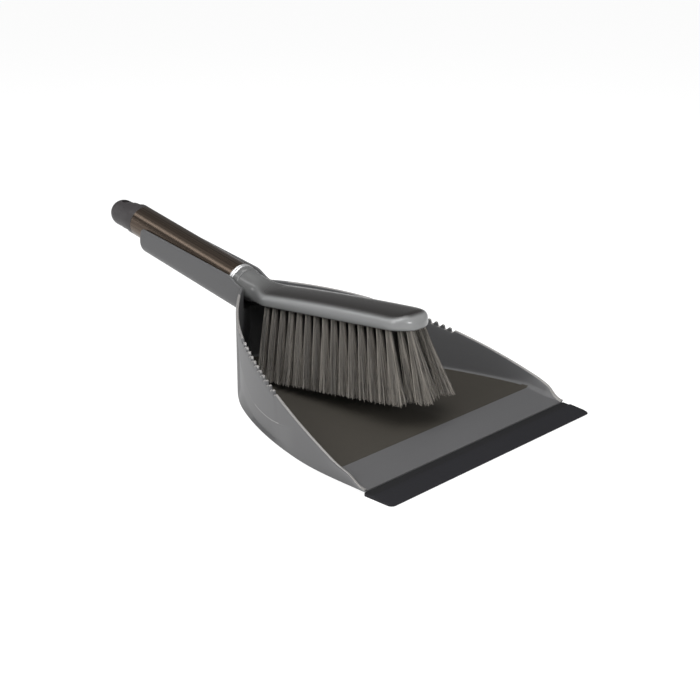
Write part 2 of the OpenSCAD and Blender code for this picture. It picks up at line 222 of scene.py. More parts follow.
def loft(bm, rings, cap_start=True, cap_end=True):
    """Closed rings of points, each in the same order, joined by quads."""
    made = [[bm.verts.new(p) for p in ring] for ring in rings]
    count = len(made[0])
    for before, after in zip(made, made[1:]):
        for i in range(count):
            j = (i + 1) % count
            bm.faces.new((before[i], before[j], after[j], after[i]))
    if cap_start:
        bm.faces.new(list(reversed(made[0])))
    if cap_end:
        bm.faces.new(made[-1])
    return made


def linked(name, data):
    """A new object in the scene."""
    made = bpy.data.objects.new(name, data)
    bpy.context.scene.collection.objects.link(made)
    return made


def finished(bm, name, sharp=32):
    """A smooth-shaded object of a bmesh, with its doubles merged and its faces outwards.
    Edges over sharp degrees stay crisp."""
    bmesh.ops.remove_doubles(bm, verts=bm.verts, dist=0.00001)
    bmesh.ops.recalc_face_normals(bm, faces=bm.faces)
    mesh = bpy.data.meshes.new(name)
    bm.to_mesh(mesh)
    bm.free()
    mesh.shade_smooth()
    mesh.set_sharp_from_angle(angle=math.radians(sharp))
    return linked(name, mesh)


def lofted(name, rings, cap_start=True, cap_end=True):
    bm = bmesh.new()
    loft(bm, rings, cap_start, cap_end)
    return finished(bm, name)


def applied(target):
    """Makes what the modifiers give the object's own mesh, and removes them."""
    graph = bpy.context.evaluated_depsgraph_get()
    mesh = bpy.data.meshes.new_from_object(target.evaluated_get(graph))
    target.modifiers.clear()
    target.data = mesh
    return target


def combined(target, operation, tool):
    """target joined with, or cut by, tool, which is used up."""
    change = target.modifiers.new(operation, "BOOLEAN")
    change.operation = operation
    change.solver = "MANIFOLD"
    change.object = tool
    applied(target)
    bpy.data.objects.remove(tool)
    return target


def merged(name, *parts):
    """One finished object from the meshes of several, or of one that was cut. They are used up."""
    bm = bmesh.new()
    for part in parts:
        bm.from_mesh(part.data)
        bpy.data.objects.remove(part)
    return finished(bm, name)


def lathe_rings(profile, steps=96, droop=lambda s: 0.0):
    """Rings about the handle's axis. profile lists (distance behind the ring, radius)."""
    turns = [2 * math.pi * i / steps for i in range(steps)]
    return [
        [
            HANDLE @ Vector((-behind, radius * math.cos(t), radius * math.sin(t) - droop(behind)))
            for t in turns
        ]
        for behind, radius in profile
    ]


# ---------------------------------------------------------------- materials


def add_node(tree, kind, inputs=None, **settings):
    """Adds a node, sets its settings, and fills or links its inputs.
    A node given as an input stands for its first output."""
    made = tree.nodes.new(kind)
    for name, value in settings.items():
        setattr(made, name, value)
    for key, value in (inputs or {}).items():
        if isinstance(value, bpy.types.Node):
            value = value.outputs[0]
        if isinstance(value, bpy.types.NodeSocket):
            tree.links.new(value, made.inputs[key])
        else:
            made.inputs[key].default_value = value
    return made


def surface(name, base, roughness, **sockets):
    """A material with a Principled shader. Returns both."""
    material = bpy.data.materials.new(name)
    material.use_nodes = True
    shader = material.node_tree.nodes["Principled BSDF"]
    shader.inputs["Base Color"].default_value = (*base, 1)
    shader.inputs["Roughness"].default_value = roughness
    for key, value in sockets.items():
        shader.inputs[key.replace("_", " ")].default_value = value
    return material, shader


def grain(shader, millimetres, depth, stretch=(1, 1, 1), tilt=0.0, detail=3.0):
    """Bump of a surface grain with features of that size, stretched along its own axes.
    Returns the noise's value, for other uses."""
    tree = shader.id_data
    place = add_node(tree, "ShaderNodeTexCoord")
    mapping = add_node(
        tree,
        "ShaderNodeMapping",
        {"Vector": place.outputs["Object"], "Rotation": (0, tilt, 0), "Scale": stretch},
        vector_type="TEXTURE",
    )
    noise = add_node(
        tree,
        "ShaderNodeTexNoise",
        {"Vector": mapping.outputs[0], "Scale": 1 / (millimetres * MM), "Detail": detail},
    )
    bump = add_node(
        tree,
        "ShaderNodeBump",
        {"Height": noise.outputs["Fac"], "Distance": depth * MM, "Strength": 1.0},
    )
    tree.links.new(bump.outputs[0], shader.inputs["Normal"])
    return noise.outputs["Fac"]


def mottled(shader, factor, base, spread):
    """Varies the base colour by spread, lighter and darker, with factor. Returns that colour."""
    tree = shader.id_data
    dark = tuple(c * (1 - spread) for c in base)
    light = tuple(min(1, c * (1 + spread)) for c in base)
    mix = add_node(
        tree,
        "ShaderNodeMix",
        {0: factor, 6: (*dark, 1), 7: (*light, 1)},
        data_type="RGBA",
    )
    tree.links.new(mix.outputs[2], shader.inputs["Base Color"])
    return mix.outputs[2]


def satin_polypropylene(name, base, roughness=0.42):
    # Injection moulded polypropylene: an even satin skin with a faint orange peel
    material, shader = surface(name, base, roughness, Specular_IOR_Level=0.35, IOR=1.49)
    mottled(shader, grain(shader, 0.9, 0.012), base, 0.05)
    return material


def eroded_and_shaded_polypropylene(base):
    # Floor of the pan, moulded against a spark-eroded tool: dull and finely pebbled, and darker, partly for
    # its finish and partly as painted shade under the brush and walls.
    # The real pebbles are 0.1 mm; they are drawn at 0.6 mm so that they show
    material, shader = surface(
        "Spark-eroded polypropylene with painted shade", base, 0.7, Specular_IOR_Level=0.2, IOR=1.49
    )
    mottled(shader, grain(shader, 0.6, 0.05), base, 0.10)
    return material


def shaded_polypropylene(base, top):
    # The brush stock: glossy side, and painted shade on the top face, with a soft edge between the two
    material, shader = surface(
        "Moulded polypropylene, stock with painted top shade", base, 0.24, Specular_IOR_Level=0.5, IOR=1.49
    )
    tree = material.node_tree
    side = mottled(shader, grain(shader, 0.9, 0.004), base, 0.04)
    # share: how much painted shade a point takes, read from the stock's "top" attribute
    share = add_node(tree, "ShaderNodeAttribute", attribute_name="top")
    mix = add_node(
        tree, "ShaderNodeMix", {0: share.outputs["Fac"], 6: side, 7: (*top, 1)}, data_type="RGBA"
    )
    tree.links.new(mix.outputs[2], shader.inputs["Base Color"])
    return material


def lip_rubber_material(name, base):
    # Moulded thermoplastic rubber: near black, matt, with dust in its skin
    material, shader = surface(name, base, 0.62, Specular_IOR_Level=0.25, IOR=1.5)
    mottled(shader, grain(shader, 1.6, 0.03), base, 0.16)
    return material


def tinted_steel_material(base):
    # Stainless steel tube, polished lengthwise and tinted dark: long fine scratches along the tube
    material, shader = surface("Tinted polished steel", base, 0.2, Metallic=1.0)
    tree = material.node_tree
    scratches = grain(shader, 1.8, 0.001, stretch=(400, 1, 1), tilt=HANDLE_TILT, detail=2.0)
    mottled(shader, scratches, base, 0.6)
    rough = add_node(
        tree,
        "ShaderNodeMapRange",
        {"Value": scratches, "From Min": 0.3, "From Max": 0.7, "To Min": 0.22, "To Max": 0.36},
    )
    tree.links.new(rough.outputs[0], shader.inputs["Roughness"])
    return material


def chrome_material():
    # Chromium plating on the trim ring: bright, with a faint polish haze
    material, shader = surface("Chromium plating", hex_colour("d2d2d3"), 0.3, Metallic=0.75)
    grain(shader, 0.5, 0.002)
    return material


def staple_material():
    # Drawn steel wire, hidden in the tuft holes
    material, shader = surface("Drawn wire", hex_colour("b5b2ac"), 0.35, Metallic=1.0)
    grain(shader, 0.3, 0.004)
    return material


def bristle_material(base):
    # Extruded polyester filament: slightly shiny strands, each a little lighter or darker at random, with
    # painted shade on the tufts deep inside the brush
    material, shader = surface(
        "Extruded polyester filament", base, 0.42, Specular_IOR_Level=0.5, IOR=1.57
    )
    shade = add_node(material.node_tree, "ShaderNodeAttribute", attribute_name="shade")
    mottled(shader, shade.outputs["Fac"], base, 0.85)
    return material


# ---------------------------------------------------------------- pan


# How pointed the pan's outline is in plan: 0.5 would be an ellipse
OUTLINE_POWER = 0.714
# How much the rim line bows up on its way to the back
RIM_BOW = 0.37
# Where the stations round the rim stop short of the back's middle, which has one of its own
BACK_COSINE = 0.075
# Length over which the rim comes down to the lip in front
FRONT_RUN = 14 * MM
# How soon the swell of the walls comes in and dies away, as shares of the pan's length
SWELL_START = 0.04
SWELL_FOOT = 0.34
SWELL_RIM = 0.16
SWELL_END = (0.96, 0.72)
# The crease of the outer walls: its lowest point and how it climbs behind and ahead of that
CREASE_BEND = 135 * MM
CREASE_LOW = 15 * MM
CREASE_CLIMB = (28 * MM, 55 * MM)
CREASE_RISE = (6 * MM, 34 * MM)
CREASE_FRONT = (92 * MM, 132 * MM)
CREASE_BACK = (208 * MM, 200 * MM)
CREASE_EDGE = 0.7 * MM


def outline(theta, half, reach, start):
    """A plan outline: theta 0 is the near front corner, a quarter turn the back."""
    c = math.cos(theta)
    return Vector(
        (start - reach * math.sin(theta), -half * math.copysign(abs(c) ** (2 * OUTLINE_POWER), c), 0)
    )


def outward(theta, half, reach):
    """Plan direction away from the bowl at theta."""
    c = max(1e-4, abs(math.cos(theta)))
    along = Vector(
        (-reach * c, 2 * OUTLINE_POWER * half * c ** (2 * OUTLINE_POWER - 1) * math.sin(theta), 0)
    )
    return Vector((-along.y, along.x, 0)).normalized()


class PanForm:
    """The pan's walls and floor at any place round the rim."""

    def __init__(self, pan):
        self.pan = pan
        self.start = LIP_X - pan.lead
        self.reach = pan.bowl_length - pan.lead
        self.first = math.asin((self.start - BOWL_X) / self.reach)
        self.ramp_x = BOWL_X - pan.ramp

    def comb(self, behind):
        """1 where the rim is lowered to carry the comb teeth, 0 elsewhere."""
        p = self.pan
        ease = 1 * MM
        start = p.tooth_start - p.tooth_pitch * 0.7
        end = p.tooth_start + p.tooth_pitch * (p.teeth - 0.3)
        ahead = smooth_step(start - ease, start + ease, behind)
        return ahead * smooth_step(end + ease, end - ease, behind)

    def swell(self, theta, share):
        """How far the wall swells out, share of the way from its foot to its rim."""
        u = math.sin(theta)
        front = smooth_step(SWELL_START, SWELL_FOOT + (SWELL_RIM - SWELL_FOOT) * share, u)
        return self.pan.bulge * front * smooth_step(*SWELL_END, u)

    def rim_z(self, theta):
        p, u = self.pan, math.sin(theta)
        z = p.rim_front + (p.rim_back - p.rim_front) * ((1 + RIM_BOW) * u - RIM_BOW * u * u)
        z -= p.tooth_height * self.comb(p.lead + self.reach * u)
        behind = self.reach * (u - math.sin(self.first))
        spare = z - p.lip_rear - 1.0 * MM
        return z - max(0.0, spare) * (1 - smooth_step(0, FRONT_RUN, behind))

    def rim_rise(self, theta):
        """Height of the rim's rounding: half the wall, and less where the wall runs out in front."""
        above = self.rim_z(theta) - self.floor_top(self.start - self.reach * math.sin(theta))
        return min(self.pan.wall / 2, above / 2)

    def wall_top(self, theta):
        return self.rim_z(theta) - self.rim_rise(theta)

    def floor_top(self, x):
        p = self.pan
        share = min(1.0, max(0.0, (x - self.ramp_x) / p.ramp))
        return p.floor_z + (p.lip_rear - p.floor_z) * share

    def wall_point(self, theta, z, inset):
        """Point of the outer wall at height z, moved inwards by inset."""
        p = self.pan
        foot = outline(theta, p.rim_half - p.lean, self.reach + p.foot_back, self.start)
        rim = outline(theta, p.rim_half, self.reach, self.start)
        share = z / self.rim_z(theta)
        away = self.swell(theta, share) - inset
        at = foot.lerp(rim, share) + outward(theta, p.rim_half, self.reach) * away
        at.y = min(at.y, 0.0)
        at.z = z
        return at

    def floor_end(self, theta):
        """Where the fillet meets the floor."""
        p = self.pan
        at = self.wall_point(theta, p.floor_z, p.wall + self.fillet_r(theta, p.floor_z))
        z = self.floor_top(at.x)
        return self.wall_point(theta, z, p.wall + self.fillet_r(theta, z))

    def fillet_r(self, theta, floor):
        return max(0.1 * MM, min(self.pan.fillet, (self.wall_top(theta) - floor) * 0.8))

    def crease_z(self, behind):
        """Height of the line below which the outer wall is set back."""
        if behind > CREASE_BEND:
            climb, run = CREASE_CLIMB
            return CREASE_LOW + climb * ((behind - CREASE_BEND) / run) ** 3
        climb, run = CREASE_RISE
        return CREASE_LOW + climb * ((CREASE_BEND - behind) / run) ** 2

    def crease_depth(self, behind):
        """1 where the crease is at its deepest, 0 where it has run out."""
        return smooth_step(*CREASE_FRONT, behind) * smooth_step(*CREASE_BACK, behind)

    def recess(self, behind, z):
        """How far the outer wall is set back at height z."""
        line = self.crease_z(behind)
        below = smooth_step(line + CREASE_EDGE, line - CREASE_EDGE, z)
        return self.pan.recess * self.crease_depth(behind) * below

    def outer_chain(self, theta):
        """Outer wall from its foot up to the rim's rounding."""
        top = self.wall_top(theta)
        behind = LIP_X - self.wall_point(theta, 0, 0).x
        base = 0.4 * MM
        room = top - base
        line = min(max(self.crease_z(behind), base + room * 0.3), base + room * 0.8)
        band = min(1.6 * MM, room * 0.1)
        levels = [base + (line - band - base) * k / 6 for k in range(1, 7)]
        levels += [line + band * (k / 3 - 1) for k in range(1, 7)]
        levels += [line + band + (top - line - band) * k / 9 for k in range(1, 10)]
        foot = [self.wall_point(theta, 0, 0.5 * MM), self.wall_point(theta, 0.3 * MM, 0)]
        return foot + [self.wall_point(theta, z, self.recess(behind, z)) for z in levels]

    def rim_chain(self, theta):
        r, rise, top = self.pan.wall / 2, self.rim_rise(theta), self.wall_top(theta)
        turns = [math.pi * k / 8 for k in range(1, 9)]
        return [self.wall_point(theta, top + rise * math.sin(t), r - r * math.cos(t)) for t in turns]

    def inner_chain(self, theta):
        """Inner wall from the rim down into the fillet, ending on the floor."""
        p = self.pan
        end = self.floor_end(theta)
        r = self.fillet_r(theta, end.z)
        top = self.wall_top(theta)
        low = end.z + r
        wall = [self.wall_point(theta, top + (low - top) * k / 9, p.wall) for k in range(1, 9)]
        turns = [math.pi / 2 * k / 7 for k in range(0, 8)]
        bend = [
            self.wall_point(theta, low - r * math.sin(t), p.wall + r * (1 - math.cos(t))) for t in turns
        ]
        return wall + bend

    def under_chain(self, theta):
        """Inside of the skirt, from the floor's underside to the foot."""
        p = self.pan
        x = self.wall_point(theta, 0, p.wall).x
        roof = max(0.6 * MM, self.floor_top(x) - p.wall)
        return [self.wall_point(theta, roof, p.wall), self.wall_point(theta, 0, p.wall)]

    def stations(self):
        """Places round the near half of the rim, with one at the top of the ramp."""
        last = math.acos(BACK_COSINE)
        count = 150
        halvings = 40
        even = [self.first + (last - self.first) * k / count for k in range(count + 1)]
        low, high = even[0], even[-1]
        for _ in range(halvings):
            middle = (low + high) / 2
            low, high = (middle, high) if self.floor_end(middle).x > self.ramp_x else (low, middle)
        nearest = min(range(1, count), key=lambda k: abs(even[k] - low))
        even[nearest] = low
        return even + [math.pi / 2]


def mirrored(points):
    return [Vector((p.x, -p.y, p.z)) for p in reversed(points)]


def across(start, end, columns=12):
    """Points strictly between two points."""
    return [start.lerp(end, k / columns) for k in range(1, columns)]


def bowl_rings(form):
    """Cross-sections of the bowl, each a closed ring, from the lip to the back."""
    rings = []
    for theta in form.stations():
        near = (
            form.under_chain(theta)
            + form.outer_chain(theta)
            + form.rim_chain(theta)
            + form.inner_chain(theta)
        )
        if theta >= math.pi / 2:
            near = [Vector((p.x, 0, p.z)) for p in near]
        far = mirrored(near)
        rings.append(near + across(near[-1], far[0]) + far + across(far[-1], near[0]))
    for p in rings[0]:
        p.x = BOWL_X
    counts = {len(r) for r in rings}
    if len(counts) != 1:
        raise RuntimeError(f"the pan's sections differ: {counts}")
    return rings


def core_rings(form):
    """The room inside the bowl, open upwards, as a solid for cutting."""
    rings = []
    for theta in form.stations():
        top = form.wall_point(theta, form.wall_top(theta), form.pan.wall)
        near = [Vector((top.x, top.y, form.pan.rim_back + 20 * MM))] + form.inner_chain(theta)
        if theta >= math.pi / 2:
            near = [Vector((p.x, 0, p.z)) for p in near]
        far = mirrored(near)
        rings.append(near + far)
    return rings


# ---------------------------------------------------------------- channel


def arc(centre, radius, start, end, steps):
    """Points of an arc in the channel's cross-section, angles in degrees."""
    turns = [math.radians(start + (end - start) * k / steps) for k in range(steps + 1)]
    return [(centre[0] + radius * math.cos(t), centre[1] + radius * math.sin(t)) for t in turns]


def channel_ring(form, channel, along, top, drop, round_seat):
    """Closed section of the channel: outside, rounded rim, inside, and its mirror image."""
    wall = form.pan.wall
    inner_drop = channel.drop - wall
    inner = TUBE_R + channel.gap
    outer = inner + wall
    r = min(channel.corner, drop)
    outside = [(0, -drop)] + arc((outer - r, r - drop), r, -90, 0, 8)
    outside += [(outer, (r - drop) + (top - wall / 2 - r + drop) * k / 4) for k in range(1, 5)]
    rim = arc((inner + wall / 2, top - wall / 2), wall / 2, 0, 180, 8)[1:]
    seat_r = max(0.5 * MM, r - wall)
    if round_seat:
        inside = arc((0, 0), inner, 0, -90, 9)
    else:
        inside = arc((inner - seat_r, seat_r - inner_drop), seat_r, 0, -90, 8) + [(0, -inner_drop)]
    half = outside + rim + inside
    far = [(-y, z) for y, z in reversed(half[1:-1])]
    return [HANDLE @ Vector((along, y, z)) for y, z in half + far]


def channel_top(channel, along, back, join):
    """Height of the channel's rim over the tube's axis."""
    if along < 0:
        return channel.rim_front + (channel.rim_back - channel.rim_front) * along / back
    return channel.rim_front + (channel.rim_join - channel.rim_front) * smooth_step(0, join, along)


def channel_rings(form, channel, back):
    """Sections from the end plate, which is rounded and carries the tube, into the bowl."""
    join = 15.4 * MM
    corner = 3 * MM
    end = 22 * MM
    steps = [0, 0.4, 1, 1.6, 2.2, 2.25, 3, 5] + [5 + 2.35 * k for k in range(1, 58)]
    rings = []
    for step in steps:
        along = back + step * MM
        if along > end:
            break
        lift = corner - math.sqrt(corner**2 - max(0, corner - step * MM) ** 2)
        top = channel_top(channel, along, back, join) - 0.8 * lift
        in_plate = step * MM <= form.pan.wall + 1e-6
        rings.append(channel_ring(form, channel, along, top, channel.drop - lift, in_plate))
    return rings


def notch_rings(form, channel):
    """Way through the back wall of the bowl, a little wider than the inside of the channel."""
    ends = (-4 * MM, 30 * MM)
    open_top = 60 * MM
    half = TUBE_R + channel.gap + form.pan.wall / 2
    drop = channel.drop - form.pan.wall / 2
    r = channel.corner - form.pan.wall / 2
    points = arc((half - r, r - drop), r, -90, 0, 8) + [(half, open_top)]
    points += [(-y, z) for y, z in reversed(points)]
    return [[HANDLE @ Vector((along, y, z)) for y, z in points] for along in ends]


# ---------------------------------------------------------------- geometry nodes


def node_tree(name, inputs):
    """An empty Geometry Nodes tree with named inputs. Returns the tree and its input node."""
    tree = bpy.data.node_groups.new(name, "GeometryNodeTree")
    tree.interface.new_socket("Geometry", in_out="OUTPUT", socket_type="NodeSocketGeometry")
    for label, kind in inputs:
        tree.interface.new_socket(label, in_out="INPUT", socket_type=kind)
    return tree, add_node(tree, "NodeGroupInput")


def ended(tree, geometry, material):
    """Ends a tree in real geometry with its material."""
    real = add_node(tree, "GeometryNodeRealizeInstances", {"Geometry": geometry})
    painted = add_node(
        tree, "GeometryNodeSetMaterial", {"Geometry": real.outputs[0], "Material": material}
    )
    add_node(tree, "NodeGroupOutput", {"Geometry": painted.outputs[0]})


def grown(seeds, tree, values):
    """Runs a tree on an object with its inputs set, and keeps the result as a plain mesh."""
    growth = seeds.modifiers.new("Growth", "NODES")
    growth.node_group = tree
    for item in tree.interface.items_tree:
        if item.in_out == "INPUT" and item.name in values:
            growth[item.identifier] = values[item.name]
    return applied(seeds)


def seed_object(name, points, attributes):
    """An object of loose points that carry attributes."""
    mesh = bpy.data.meshes.new(name)
    mesh.from_pydata(points, [], [])
    for key, (kind, values) in attributes.items():
        layer = mesh.attributes.new(key, kind, "POINT")
        for item, value in zip(layer.data, values):
            setattr(item, "vector" if kind == "FLOAT_VECTOR" else "value", value)
    return linked(name, mesh)


def teeth_tree():
    """A rounded block on each point, set along the point's direction."""
    taper, crease = 0.25, 0.6
    tree, given = node_tree(
        "Comb teeth",
        [
            ("Geometry", "NodeSocketGeometry"),
            ("Size", "NodeSocketVector"),
            ("Material", "NodeSocketMaterial"),
        ],
    )
    block = add_node(tree, "GeometryNodeMeshCube", {"Size": given.outputs["Size"]})
    corner = add_node(tree, "GeometryNodeInputPosition")
    height = add_node(tree, "ShaderNodeSeparateXYZ", {0: corner}).outputs["Z"]
    upper = add_node(tree, "ShaderNodeMath", {0: height}, operation="SIGN")
    narrow = add_node(tree, "ShaderNodeVectorMath", {0: corner, 1: (taper, 1, 1)}, operation="MULTIPLY")
    tapered = add_node(
        tree, "GeometryNodeSetPosition", {"Geometry": block, "Selection": upper, "Position": narrow}
    )
    rounded = add_node(
        tree, "GeometryNodeSubdivisionSurface", {"Mesh": tapered, "Level": 2, "Edge Crease": crease}
    )
    along = add_node(
        tree, "GeometryNodeInputNamedAttribute", {"Name": "along"}, data_type="FLOAT_VECTOR"
    )
    upright = add_node(tree, "FunctionNodeAlignRotationToVector", {"Vector": WORLD_UP}, axis="Z")
    turned = add_node(
        tree, "FunctionNodeAlignRotationToVector", {"Rotation": upright, "Vector": along}, axis="X"
    )
    placed = add_node(
        tree,
        "GeometryNodeInstanceOnPoints",
        {"Points": given, "Instance": rounded, "Rotation": turned},
    )
    ended(tree, placed, given.outputs["Material"])
    return tree


def in_disc(tree, seed, inputs=None):
    """A random point of a disc of radius 1 in the XY plane."""
    given = inputs or {}
    turn = add_node(tree, "FunctionNodeRandomValue", {3: math.tau, "Seed": seed, **given}).outputs[1]
    share = add_node(tree, "FunctionNodeRandomValue", {"Seed": seed + 1, **given}).outputs[1]
    away = add_node(tree, "ShaderNodeMath", {0: share}, operation="SQRT")
    spoke = add_node(tree, "ShaderNodeCombineXYZ", {"X": away})
    return add_node(
        tree, "ShaderNodeVectorRotate", {"Vector": spoke, "Angle": turn}, rotation_type="Z_AXIS"
    )


def bristle_tree():
    """Each point becomes a tuft of filaments that fan from its hole to its cut end, in small clumps."""
    tree, given = node_tree(
        "Bristles",
        [
            ("Geometry", "NodeSocketGeometry"),
            ("Filaments", "NodeSocketInt"),
            ("Filament radius", "NodeSocketFloat"),
            ("Root radius", "NodeSocketFloat"),
            ("End radius", "NodeSocketFloat"),
            ("Bow", "NodeSocketFloat"),
            ("Clumps", "NodeSocketInt"),
            ("Shortest", "NodeSocketFloat"),
            ("Inner shade", "NodeSocketFloat"),
            ("Material", "NodeSocketMaterial"),
        ],
    )
    sockets = given.outputs
    # How far the clumps share their place and their tone, the tone's contrast, and how late
    # along its length a filament fans out
    clumped, toned, contrast, lateness = 0.22, 0.45, 1.5, 1.7
    most_clumps, bends = 32.0, 6
    points = add_node(tree, "GeometryNodeMeshToPoints", {"Mesh": given})
    amount = {"Geometry": points, "Amount": sockets["Filaments"]}
    copies = add_node(tree, "GeometryNodeDuplicateElements", amount, domain="POINT")
    tuft, inner, middle = (
        add_node(tree, "GeometryNodeInputNamedAttribute", {"Name": name}, data_type=kind)
        for name, kind in (("tuft", "INT"), ("inner", "FLOAT"), ("run", "FLOAT_VECTOR"))
    )
    choice = {4: 1, 5: sockets["Clumps"], "Seed": 3}
    picked = add_node(tree, "FunctionNodeRandomValue", choice, data_type="INT").outputs[2]
    clump = add_node(tree, "ShaderNodeMath", {0: tuft, 1: most_clumps, 2: picked}, operation="MULTIPLY_ADD")

    # A filament's place in the hole and at the cut end, its length and its sideways bow
    own, shared, aside = in_disc(tree, 11), in_disc(tree, 21, {"ID": clump}), in_disc(tree, 41)
    mix = {0: clumped, 4: own, 5: shared}
    fanned = add_node(tree, "ShaderNodeMix", mix, data_type="VECTOR").outputs[1]
    trim = add_node(
        tree, "FunctionNodeRandomValue", {2: sockets["Shortest"], 3: 1.0, "Seed": 31}
    ).outputs[1]
    root, end, run, bow = (
        add_node(tree, "ShaderNodeVectorMath", {0: vector, "Scale": factor}, operation="SCALE")
        for vector, factor in (
            (own, sockets["Root radius"]),
            (fanned, sockets["End radius"]),
            (middle, trim),
            (aside, sockets["Bow"]),
        )
    )

    # How light it is: a random tone by itself and with its clump, and painted shade deep inside the brush
    single = add_node(tree, "FunctionNodeRandomValue", {"Seed": 51}).outputs[1]
    common = add_node(tree, "FunctionNodeRandomValue", {"Seed": 52, "ID": clump}).outputs[1]
    level = add_node(tree, "ShaderNodeMix", {0: toned, 2: single, 3: common})
    level = add_node(tree, "ShaderNodeMath", {0: level, 1: contrast}, operation="POWER")
    depth = add_node(tree, "ShaderNodeMix", {0: inner, 2: 1.0, 3: sockets["Inner shade"]})
    shade = add_node(tree, "ShaderNodeMath", {0: level, 1: depth}, operation="MULTIPLY")

    kept = copies
    for name, value in {"root": root, "end": end, "run": run, "bow": bow, "shade": shade}.items():
        kept = add_node(
            tree,
            "GeometryNodeStoreNamedAttribute",
            {"Geometry": kept, "Name": name, "Value": value.outputs[0]},
            data_type="FLOAT" if name == "shade" else "FLOAT_VECTOR",
            domain="POINT",
        )
    strand = add_node(tree, "GeometryNodeCurvePrimitiveLine", {"Start": (0, 0, 0), "End": (0, 0, 1)})
    divided = add_node(tree, "GeometryNodeResampleCurve", {"Curve": strand, "Count": bends})
    placed = add_node(tree, "GeometryNodeInstanceOnPoints", {"Points": kept, "Instance": divided})
    real = add_node(tree, "GeometryNodeRealizeInstances", {"Geometry": placed})

    # The straight strand is bent: it leaves its hole in a tight bundle and fans out late
    share = add_node(tree, "GeometryNodeSplineParameter")
    here = add_node(tree, "GeometryNodeInputPosition")
    along = add_node(tree, "ShaderNodeCombineXYZ", {"Z": share})
    start = add_node(tree, "ShaderNodeVectorMath", {0: here, 1: along}, operation="SUBTRACT")
    root, end, run, bow = (
        add_node(tree, "GeometryNodeInputNamedAttribute", {"Name": name}, data_type="FLOAT_VECTOR")
        for name in ("root", "end", "run", "bow")
    )
    late = add_node(tree, "ShaderNodeMath", {0: share, 1: lateness}, operation="POWER")
    fan = add_node(tree, "ShaderNodeMix", {0: late, 4: root, 5: end}, data_type="VECTOR").outputs[1]
    path = add_node(tree, "ShaderNodeVectorMath", {0: run, 1: share, 2: fan}, operation="MULTIPLY_ADD")
    half_turn = add_node(tree, "ShaderNodeMath", {0: share, 1: math.pi}, operation="MULTIPLY")
    bulge = add_node(tree, "ShaderNodeMath", {0: half_turn}, operation="SINE")
    path = add_node(tree, "ShaderNodeVectorMath", {0: bow, 1: bulge, 2: path}, operation="MULTIPLY_ADD")
    place = add_node(tree, "ShaderNodeVectorMath", {0: start, 1: path}, operation="ADD")
    moved = add_node(tree, "GeometryNodeSetPosition", {"Geometry": real, "Position": place})

    section = add_node(
        tree,
        "GeometryNodeCurvePrimitiveCircle",
        {"Resolution": 3, "Radius": sockets["Filament radius"]},
        mode="RADIUS",
    )
    tubes = add_node(
        tree,
        "GeometryNodeCurveToMesh",
        {"Curve": moved, "Profile Curve": section, "Fill Caps": True},
    )
    ended(tree, tubes, sockets["Material"])
    return tree


# ---------------------------------------------------------------- brush stock


